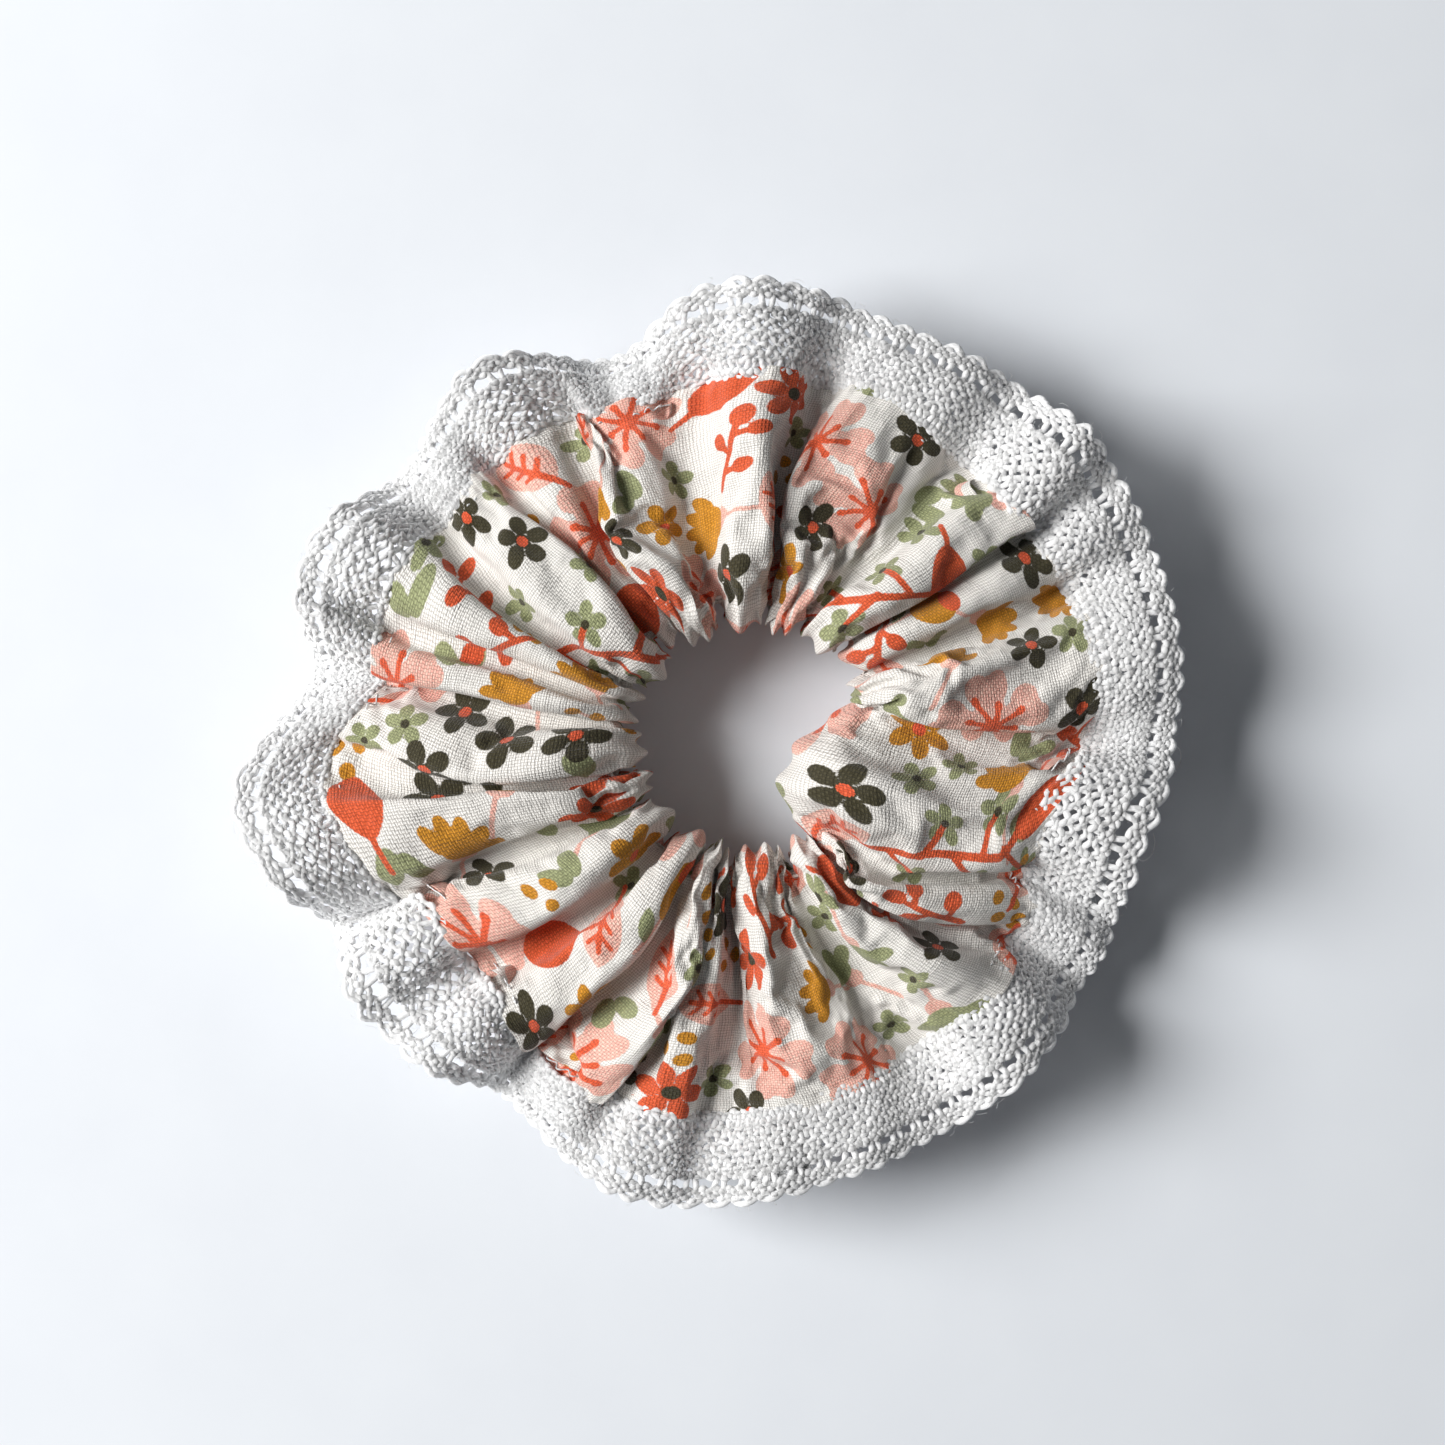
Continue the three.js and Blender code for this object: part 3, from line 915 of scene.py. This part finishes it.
class Lace:
    """Yarns laid on the lace's surface."""

    def __init__(self, grid):
        self.surface = lace_surface(grid)
        self.normals = grid_normals(self.surface)
        self.random = np.random.default_rng(7)

    def place(self, along, across, over=0.0):
        """Points of the surface, raised over it, and its normals."""
        x = (np.asarray(along) % STRIP) / STRIP * COLUMNS
        y = np.interp(across, LACE_ROWS, np.arange(len(LACE_ROWS)))
        i, j = np.floor(x).astype(int), np.minimum(np.floor(y).astype(int), len(LACE_ROWS) - 2)
        u, v = (x - i)[:, None], (y - j)[:, None]
        i, k = i % COLUMNS, (i + 1) % COLUMNS

        def between(a):
            inner = a[i, j] * (1 - u) + a[k, j] * u
            return inner * (1 - v) + (a[i, j + 1] * (1 - u) + a[k, j + 1] * u) * v

        normals = unit(between(self.normals))
        return between(self.surface) + normals * np.reshape(over, (-1, 1)), normals

    def row(self, across, repeats, swing, phase=0.0, over=0.14, radius=YARN, scallop=False):
        """A yarn all the way round that swings across as it goes along."""
        per_wave = 10
        count = repeats * per_wave
        along = np.arange(count) * STRIP / count
        wave = 2 * np.pi * repeats * along / STRIP + phase
        shape = np.abs(np.sin(wave / 2)) * 2 - 1 if scallop else np.sin(wave)
        loose = lattice_noise(along * 170 / STRIP, np.full(count, across * 3.0), 170, 31) * 0.2
        along_loose = lattice_noise(along * 150 / STRIP, np.full(count, across * 5.0), 150, 32) * 0.4
        height = over * np.cos(wave * (1 if scallop else 2) + phase)
        points, normals = self.place(along + along_loose, across + swing * shape + loose, height)
        thick = radius * (1 + 0.2 * lattice_noise(along * 400 / STRIP, np.full(count, across * 7.0), 400, 33))
        return tube(points, thick, normals, turn_at(along), 6, closed=True)

    def post(self, along, low, high, lean, radius=YARN):
        """A short yarn across the lace, between two rows."""
        t = np.linspace(0, 1, 5)
        at = along + lean * (t - 0.5) + self.random.normal(0, 0.08)
        points, normals = self.place(at, low + (high - low) * t, 0.12 * np.sin(np.pi * t * 2))
        return tube(points, radius, normals, turn_at(at), 6)

    def yarns(self):
        shapes = [
            self.row(0.35, NET_REPEATS, 0.22, radius=YARN * 1.1),
            self.row(0.95, NET_REPEATS, 0.22, np.pi, radius=YARN * 1.1),
        ]
        for i in range(NET_REPEATS):
            at = (i + 0.25) * NET_PITCH
            shapes.append(self.post(at, 0.9, 2.6, 0.55 if i % 2 else -0.55))
            shapes.append(self.post(at + NET_PITCH / 2, 0.9, 2.6, -0.4 if i % 2 else 0.4, YARN * 0.8))
        for i in range(8):
            across = 2.5 + 0.9 * i
            shapes.append(self.row(across, NET_REPEATS, 0.34, np.pi * (i % 2)))
            for at in np.flatnonzero(self.random.random(NET_REPEATS) < 0.75) * NET_PITCH:
                at += NET_PITCH / 2 * (i % 2)
                lean = self.random.normal(0, 0.4)
                shapes.append(self.post(at, across - 0.4, across + 0.8, lean, YARN * 0.8))
        shapes.append(self.row(9.15, NET_REPEATS, 0.2, radius=YARN * 1.05))
        for i in range(EYELET_REPEATS):
            for side in (-1, 1):
                at = (i + 0.5) * EYELET_PITCH + side * 0.6
                shapes.append(self.post(at, 9.2, 11.2, side * 0.35))
        shapes.append(self.row(11.25, NET_REPEATS, 0.24, radius=YARN * 1.05))
        shapes.append(self.row(11.85, NET_REPEATS, 0.32, np.pi))
        shapes.append(self.row(12.5, NET_REPEATS, 0.3, 0.0))
        shapes.append(self.row(13.0, EYELET_REPEATS, 0.5, 0.0, scallop=True))
        return join_shapes(shapes)

    def lapped_end(self, middle, half):
        """The free end of the lace, lying over the place where its two ends meet."""
        shapes = []
        for i, across in enumerate(np.arange(0.4, 13.0, 0.85)):
            count = 40
            along = np.linspace(middle - half, middle + half, count)
            swing = 0.38 * np.sin(2 * np.pi * along / NET_PITCH + np.pi * (i % 2))
            points, normals = self.place(along, across + swing, 0.75)
            shapes.append(tube(points, YARN, normals, turn_at(along)))
        for end in (-1, 1):
            across = np.linspace(0.4, 12.8, 40)
            along = middle + end * half + 0.15 * np.sin(across * 5)
            points, normals = self.place(along, across, 0.8)
            shapes.append(tube(points, YARN * 1.1, normals, turn_at(along)))
        return join_shapes(shapes)

    def seam_thread(self):
        """Machine stitches through the seam and the lace's heading."""
        repeats = int(STRIP / 2.4)
        count = repeats * 8
        along = np.arange(count) * STRIP / count
        over = 0.5 * np.sin(2 * np.pi * repeats * along / STRIP)
        points, normals = self.place(along, np.full(count, -1.6), over)
        return tube(points, 0.12, normals, turn_at(along), 5, closed=True)

    def hairs(self, count):
        """Loose fibres that stand off the yarns."""
        shapes = []
        for _ in range(count):
            along, across = self.random.uniform(0, STRIP), self.random.uniform(0.2, LACE_WIDTH + 0.4)
            length = self.random.uniform(0.8, 2.2)
            t = np.linspace(0, 1, 5)
            heading = self.random.uniform(0, 2 * np.pi)
            bend = self.random.uniform(-1.2, 1.2)
            direction = heading + bend * t
            at = along + length * np.cumsum(np.cos(direction)) / 5
            out = np.clip(across + length * np.cumsum(np.sin(direction)) / 5, 0, LACE_ROWS[-1])
            points, normals = self.place(at, out, 0.25 + self.random.uniform(0.2, 0.9) * t)
            shapes.append(tube(points, 0.035, normals, turn_at(at), 3))
        return join_shapes(shapes)

    def loose_end(self, angle, length, curl):
        """A fine end of yarn that stands out from the edge and curls down to the floor."""
        root = along_at(float(turn_from_join(angle)))
        start, _ = self.place([root], [LACE_WIDTH - 0.5], 0.2)
        t = np.linspace(0, 1, 24)
        heading = np.radians(angle) + curl * (t - 0.35)
        step = length / len(t)
        path = np.stack(
            [
                start[0, 0] + step * np.cumsum(np.cos(heading)),
                start[0, 1] + step * np.cumsum(np.sin(heading)),
                start[0, 2] * (1 - t) ** 2 + 0.4 + 1.2 * np.sin(np.pi * t),
            ],
            -1,
        )
        return tube(path, 0.07, np.array([[0.0, 0.0, 1.0]]), np.full(len(t), float(turn_at(root))), 5)


# ---------------------------------------------------------------- materials


SHADER_INPUTS = {
    "colour": "Base Color",
    "roughness": "Roughness",
    "normal": "Normal",
    "sheen": "Sheen Weight",
    "sheen_roughness": "Sheen Roughness",
    "specular": "Specular IOR Level",
    "subsurface": "Subsurface Weight",
    "subsurface_scale": "Subsurface Scale",
    "subsurface_radius": "Subsurface Radius",
}


class Nodes:
    """A short way to write a material's nodes."""

    def __init__(self, name):
        self.material = bpy.data.materials.new(name)
        self.material.use_nodes = True
        self.tree = self.material.node_tree
        self.shader = self.tree.nodes["Principled BSDF"]

    def link(self, value, socket):
        if hasattr(value, "links"):
            self.tree.links.new(value, socket)
        else:
            socket.default_value = value

    def node(self, kind, inputs=None, **settings):
        node = self.tree.nodes.new(kind)
        for key, value in settings.items():
            setattr(node, key, value)
        for key, value in (inputs or {}).items():
            self.link(value, node.inputs[key])
        return node

    def math(self, operation, a, b=0.0, c=0.0):
        return self.node("ShaderNodeMath", {0: a, 1: b, 2: c}, operation=operation).outputs[0]

    def attribute(self, name):
        return self.node("ShaderNodeAttribute", attribute_name=name).outputs["Fac"]

    def ramp(self, value, low, high):
        """0 at low, 1 at high."""
        inputs = {"Value": value, "From Min": low, "From Max": high}
        return self.node("ShaderNodeMapRange", inputs).outputs["Result"]

    def mix(self, share, a, b, blend="MIX"):
        node = self.node("ShaderNodeMix", data_type="RGBA", blend_type=blend)
        self.link(share, node.inputs["Factor"])
        self.link(a, node.inputs[6])
        self.link(b, node.inputs[7])
        return node.outputs[2]

    def noise(self, vector, scale, detail=2.0, roughness=0.5):
        inputs = {"Vector": vector, "Scale": scale, "Detail": detail, "Roughness": roughness}
        return self.node("ShaderNodeTexNoise", inputs).outputs["Fac"]

    def scaled(self, vector, by):
        return self.node("ShaderNodeVectorMath", {0: vector, 1: by}, operation="MULTIPLY").outputs[0]

    def bump(self, height, distance, strength=1.0, normal=None):
        inputs = {"Height": height, "Distance": distance, "Strength": strength}
        if normal is not None:
            inputs["Normal"] = normal
        return self.node("ShaderNodeBump", inputs).outputs[0]

    def set(self, **values):
        for key, value in values.items():
            self.link(value, self.shader.inputs[SHADER_INPUTS[key]])


def linear(red, green, blue):
    """A display colour, 0 to 255, as the linear colour that a shader takes."""
    values = [c / 255 for c in (red, green, blue)]
    return tuple(((c + 0.055) / 1.055) ** 2.4 if c > 0.04 else c / 12.92 for c in values) + (1.0,)


COTTON = linear(244, 241, 236)
INK_COLOURS = {
    "pink": linear(230, 170, 156),
    "sage": linear(138, 143, 104),
    "mustard": linear(184, 124, 18),
    "red": linear(196, 78, 36),
    "olive": linear(50, 45, 20),
    "orange": linear(212, 82, 44),
}
THREAD_PITCH = 0.42  # of the cotton's weave


def cotton_material():
    """Plain-weave cotton with a printed pattern. Its UV map is the flat cloth, in millimetres."""
    n = Nodes("printed_cotton")
    uv = n.node("ShaderNodeUVMap", uv_map="flat").outputs[0]
    split = n.node("ShaderNodeSeparateXYZ", {0: uv})
    turn = math.pi / THREAD_PITCH
    # Threads wander a little, and some are thicker than others.
    wander = n.noise(n.scaled(uv, (0.35, 0.35, 1)), 1.0)
    warp, weft = (
        n.math("SINE", n.math("MULTIPLY_ADD", split.outputs[way], turn, n.math("MULTIPLY", wander, shift)))
        for way, shift in ((0, 5.0), (1, -5.0))
    )
    warp_over = n.ramp(n.math("MULTIPLY", warp, weft), -0.2, 0.2)
    warp_height = n.math("ABSOLUTE", warp)
    weft_height = n.math("ABSOLUTE", weft)
    rise = n.math("MULTIPLY", warp_over, n.math("SUBTRACT", warp_height, weft_height))
    weave = n.math("ADD", weft_height, rise)
    slub_warp = n.noise(n.scaled(uv, (2.4, 0.16, 1)), 1.0, 1.0)
    slub_weft = n.noise(n.scaled(uv, (0.16, 2.4, 1)), 1.0, 1.0)
    slubs = n.math("ADD", slub_warp, slub_weft)
    # Ink soaks unevenly into the threads at an edge.
    ragged = n.math("MULTIPLY_ADD", n.noise(uv, 2.2, 3.0), 0.30, -0.15)
    ragged = n.math("MULTIPLY_ADD", weave, -0.12, n.math("ADD", ragged, 0.06))
    tone = n.noise(n.scaled(uv, (0.12, 0.12, 1)), 1.0, 3.0)
    # The weft takes less ink than the warp, so the weave shows in the print as pale specks.
    speck = n.math("SUBTRACT", n.ramp(slubs, 0.75, 1.35), n.math("MULTIPLY", warp_over, 0.8))
    speck = n.math("MULTIPLY", n.ramp(speck, -0.4, 0.8), 0.75)
    colour = COTTON
    for ink in INKS:
        edge = n.math("ADD", n.attribute(ink), ragged)
        cover = n.ramp(edge, 0.07, -0.07)
        strong = INK_COLOURS[ink]
        pale = tuple(c * 1.2 + 0.02 for c in strong[:3]) + (1.0,)
        shade = n.mix(n.ramp(tone, 0.25, 0.75), strong, pale)
        thin = tuple(min(1, c * 1.7 + 0.03) for c in strong[:3]) + (1.0,)
        shade = n.mix(speck, shade, thin)
        colour = n.mix(cover, colour, shade)
    # Painted shade: the colour is darkened in the low gaps between the threads of the weave.
    colour = n.mix(n.ramp(weave, 0.85, 0.1), colour, (0.52, 0.50, 0.48, 1), "MULTIPLY")
    normal = n.bump(weave, 0.00015, 0.7)
    normal = n.bump(slubs, 0.00035, 0.3, normal)
    crumple = n.noise(n.scaled(uv, (0.3, 0.22, 1)), 1.0, 3.0, 0.5)
    normal = n.bump(crumple, 0.0014, 0.4, normal)
    n.set(colour=colour, roughness=0.86, normal=normal, sheen=0.2, sheen_roughness=0.5, specular=0.2)
    return n.material


def yarn_material(name, colour, twist, strength=0.6, sheen=0.35, glow=0.0):
    """Twisted yarn. Its UV map runs round the yarn, in turns, and along it, in millimetres."""
    n = Nodes(name)
    uv = n.node("ShaderNodeUVMap", uv_map="yarn").outputs[0]
    split = n.node("ShaderNodeSeparateXYZ", {0: uv})
    place = n.node("ShaderNodeTexCoord").outputs["Object"]
    around = n.math("MULTIPLY", split.outputs[0], 4 * math.pi)
    spiral = n.math("MULTIPLY_ADD", split.outputs[1], 2 * math.pi / twist, around)
    plies = n.math("ABSOLUTE", n.math("SINE", n.math("MULTIPLY", spiral, 0.5)))
    fibres = n.noise(place, 9000.0, 2.0)
    patch = n.noise(place, 300.0, 2.0)
    # Painted shade: the yarn is darker in the grooves between its plies.
    dark = tuple(c * 0.95 for c in colour[:3]) + (1.0,)
    shade = n.mix(n.ramp(plies, 0.0, 0.45), dark, colour)
    light = tuple(min(1, c * 1.04) for c in colour[:3]) + (1.0,)
    shade = n.mix(n.ramp(patch, 0.35, 0.7), shade, light)
    normal = n.bump(plies, 0.00022, strength)
    normal = n.bump(fibres, 0.0001, 0.35, normal)
    n.set(colour=shade, roughness=0.9, normal=normal, sheen=sheen, sheen_roughness=0.6, specular=0.2)
    n.set(subsurface=glow, subsurface_scale=0.0015, subsurface_radius=(1, 1, 1))
    return n.material


def elastic_material():
    """Braided flat elastic: ribs along it, crossed by slanting threads."""
    n = Nodes("braided_elastic")
    uv = n.node("ShaderNodeUVMap", uv_map="yarn").outputs[0]
    split = n.node("ShaderNodeSeparateXYZ", {0: uv})
    ribs = n.math("SINE", n.math("MULTIPLY", split.outputs[0], 2 * math.pi * 9))
    slant = n.math("MULTIPLY_ADD", split.outputs[0], 30.0, n.math("MULTIPLY", split.outputs[1], 9.0))
    braid = n.math("MULTIPLY", ribs, n.math("SINE", slant))
    # Painted shade: the elastic is darker in the valleys between its ribs.
    shade = n.mix(n.ramp(ribs, -1.0, 0.6), linear(196, 193, 186), linear(236, 233, 226))
    normal = n.bump(n.math("ADD", ribs, braid), 0.0002, 0.8)
    n.set(colour=shade, roughness=0.7, normal=normal, sheen=0.2, specular=0.3)
    return n.material


def floor_material():
    n = Nodes("pale_table")
    place = n.node("ShaderNodeTexCoord").outputs["Object"]
    grain = n.noise(place, 60.0, 4.0)
    n.set(colour=n.mix(grain, linear(226, 230, 236), linear(232, 236, 241)), roughness=0.75, specular=0.2)
    return n.material


# ---------------------------------------------------------------- the elastic and the stitches


ELASTIC_RIBS = 7
RIB_DEPTH = 0.07


def ring_band(radius, low, high, thickness, start, end, count):
    """A flat upright band round the hole, from one angle to another."""
    closed = end - start >= 360
    angles = np.radians(np.linspace(start, end, count, endpoint=not closed))
    corner = thickness * 0.35
    outline = [
        (-thickness / 2, low + corner), (-thickness / 2 + corner, low), (thickness / 2 - corner, low),
        (thickness / 2, low + corner), (thickness / 2, high - corner), (thickness / 2 - corner, high),
        (-thickness / 2 + corner, high), (-thickness / 2, high - corner),
    ]
    edges = range(1, 2 * ELASTIC_RIBS)
    face = high - low - 2 * corner
    rise = [(thickness / 2 + RIB_DEPTH * (i % 2), face * i / (2 * ELASTIC_RIBS)) for i in edges]
    outside = [(x, low + corner + z) for x, z in rise]
    inside = [(-x, high - corner - z) for x, z in rise]
    profile = np.array(outline[:4] + outside + outline[4:] + inside)
    r = radius + profile[:, 0]
    sides = len(r)
    heights = np.broadcast_to(profile[:, 1], (count, sides))
    points = np.stack([np.outer(np.cos(angles), r), np.outer(np.sin(angles), r), heights], -1)
    index = np.arange(count * sides).reshape(count, sides)
    present = index if closed else index[:-1]
    following = np.roll(index, -1, 0) if closed else index[1:]
    faces = np.stack([present, following, np.roll(following, -1, 1), np.roll(present, -1, 1)], -1)
    turns = np.repeat(turn_from_join(np.degrees(angles)), sides)
    height_share = (profile[:, 1] - low)[None] / (high - low)
    uv = np.stack(np.broadcast_arrays(height_share, (angles * radius)[:, None]), -1)
    return Shape(points.reshape(-1, 3), faces.reshape(-1, 4), turns, uv.reshape(-1, 2))


def tack_stitches(radius):
    """The zigzag that joins the elastic, seen from outside it."""
    count = 120
    t = np.linspace(-1, 1, count)
    angle = np.radians(JOIN_ANGLE) + t * 3.0 / radius
    height = ELASTIC_HEIGHT + 2.1 * (2 / np.pi) * np.arcsin(np.sin(t * np.pi * 3.5))
    points = np.stack([radius * np.cos(angle), radius * np.sin(angle), height], -1)
    up = np.stack([np.cos(angle), np.sin(angle), 0 * angle], -1)
    return tube(points, 0.17, up, turn_from_join(np.degrees(angle)))


def closing_stitches(grid, normals):
    """Small slanted hand stitches on the underside, across the strip's closed ends."""
    column = int(np.argmin(np.abs((COLUMN_TURN + 6) % LENGTHS_ROUND - 6)))
    shapes = []
    rows = np.flatnonzero((ACROSS > -38) & (ACROSS < -28))
    for row in rows[:: max(1, int(1.4 / CELL))]:
        slant = int(0.7 / CELL)
        a, b = grid[(column - 2) % COLUMNS, row], grid[(column + 2) % COLUMNS, row + slant]
        out = normals[column, row]
        t = np.linspace(0, 1, 7)[:, None]
        path = a * (1 - t) + b * t + out * (0.32 * np.sin(np.pi * t) - 0.05)
        shapes.append(tube(path, 0.13, np.broadcast_to(out, path.shape), np.zeros(7)))
    return join_shapes(shapes)


# ---------------------------------------------------------------- the scrunchie

LOOSE_ENDS = [(-24, 10, 3.4), (-7, 7, -3.0), (31, 4.5, 2.0)]  # of yarn: angle, length and curl

grid = cloth_grid()
grid = settled(grid)
normals = grid_normals(grid)
fields = print_strip()

cotton = cotton_material()
lace_yarn = yarn_material("lace_yarn", linear(254, 254, 255), 0.9, strength=0.35, sheen=1.0, glow=0.7)
sewing_thread = yarn_material("sewing_thread", linear(240, 240, 240), 0.5)
elastic = elastic_material()

cloth = Shape(
    grid.reshape(-1, 3),
    grid_faces(COLUMNS, ROWS),
    np.repeat(COLUMN_TURN, ROWS),
    np.stack(np.broadcast_arrays(ALONG[:, None], ACROSS[None]), -1).reshape(-1, 2),
    normals.reshape(-1, 3),
    {ink: field.ravel() for ink, field in fields.items()},
)
casing_lengths = make_lengths("casing", cloth, "flat", cotton, "casing_gather")
elastic_low = ELASTIC_HEIGHT - ELASTIC_WIDTH / 2
elastic_high = ELASTIC_HEIGHT + ELASTIC_WIDTH / 2
loop = ring_band(ELASTIC_RADIUS, elastic_low, elastic_high, 1.1, 0, 360, 360)
elastic_lengths = make_lengths("elastic", loop, "yarn", elastic, "elastic_link")
lap = ring_band(ELASTIC_RADIUS + 1.4, elastic_low, elastic_high, 1.1, JOIN_ANGLE - 11, JOIN_ANGLE + 11, 24)
ride_join(make_object("elastic_lap", lap, "yarn", elastic), "elastic_lapped_end")
tack = tack_stitches(ELASTIC_RADIUS + 2.1)
ride_join(make_object("elastic_tack", tack, "yarn", sewing_thread), "elastic_tack_stitches")
closing = closing_stitches(grid, normals)
ride_join(make_object("closing_thread", closing, "yarn", sewing_thread), "closing_stitches")

lace = Lace(grid)
loose_ends = [lace.loose_end(*end) for end in LOOSE_ENDS]
yarns = join_shapes([lace.yarns(), lace.hairs(3000), *loose_ends])
lace_lengths = make_lengths("lace", yarns, "yarn", lace_yarn, "lace_ruffle")
make_lengths("seam_thread", lace.seam_thread(), "yarn", sewing_thread, "seam_stitches")
lace_lap = make_object("lace_lap", lace.lapped_end(along_at(0), 4.5), "yarn", lace_yarn)
ride_join(lace_lap, "lace_lapped_end")

# ---------------------------------------------------------------- floor, light and camera

bpy.ops.mesh.primitive_plane_add(size=4)
floor = bpy.context.object
floor.name = "floor"
floor.data.materials.append(floor_material())


def area_light(name, place, size, energy, colour):
    light = bpy.data.objects.new(name, bpy.data.lights.new(name, "AREA"))
    light.data.size = size
    light.data.energy = energy
    light.data.color = colour
    light.location = place
    light.rotation_euler = (-Vector(place)).to_track_quat("-Z", "Y").to_euler()
    bpy.context.scene.collection.objects.link(light)


area_light("window", (-1.0, 0.14, 0.83), 0.65, 26, (1.0, 0.995, 0.985))
world = bpy.data.worlds.new("world")
bpy.context.scene.world = world
world.use_nodes = True
background = world.node_tree.nodes["Background"]
background.inputs["Color"].default_value = (0.93, 0.96, 1.0, 1)
background.inputs["Strength"].default_value = 0.103
bpy.context.scene.view_settings.view_transform = "Standard"

camera = bpy.data.objects.new("camera", bpy.data.cameras.new("camera"))
bpy.context.scene.collection.objects.link(camera)
camera.data.lens = 60
camera.data.clip_start = 0.01
VIEW_WIDTH = 0.2066  # of the floor that the camera sees, at the height of the seam
VIEW_MIDDLE = (-0.0042, 0.0022)  # of the floor that it sees, which isn't quite the hole's middle
camera_height = VIEW_WIDTH * camera.data.lens / camera.data.sensor_width
camera.location = (*VIEW_MIDDLE, SEAM_HEIGHT * MM + camera_height)
bpy.context.scene.camera = camera
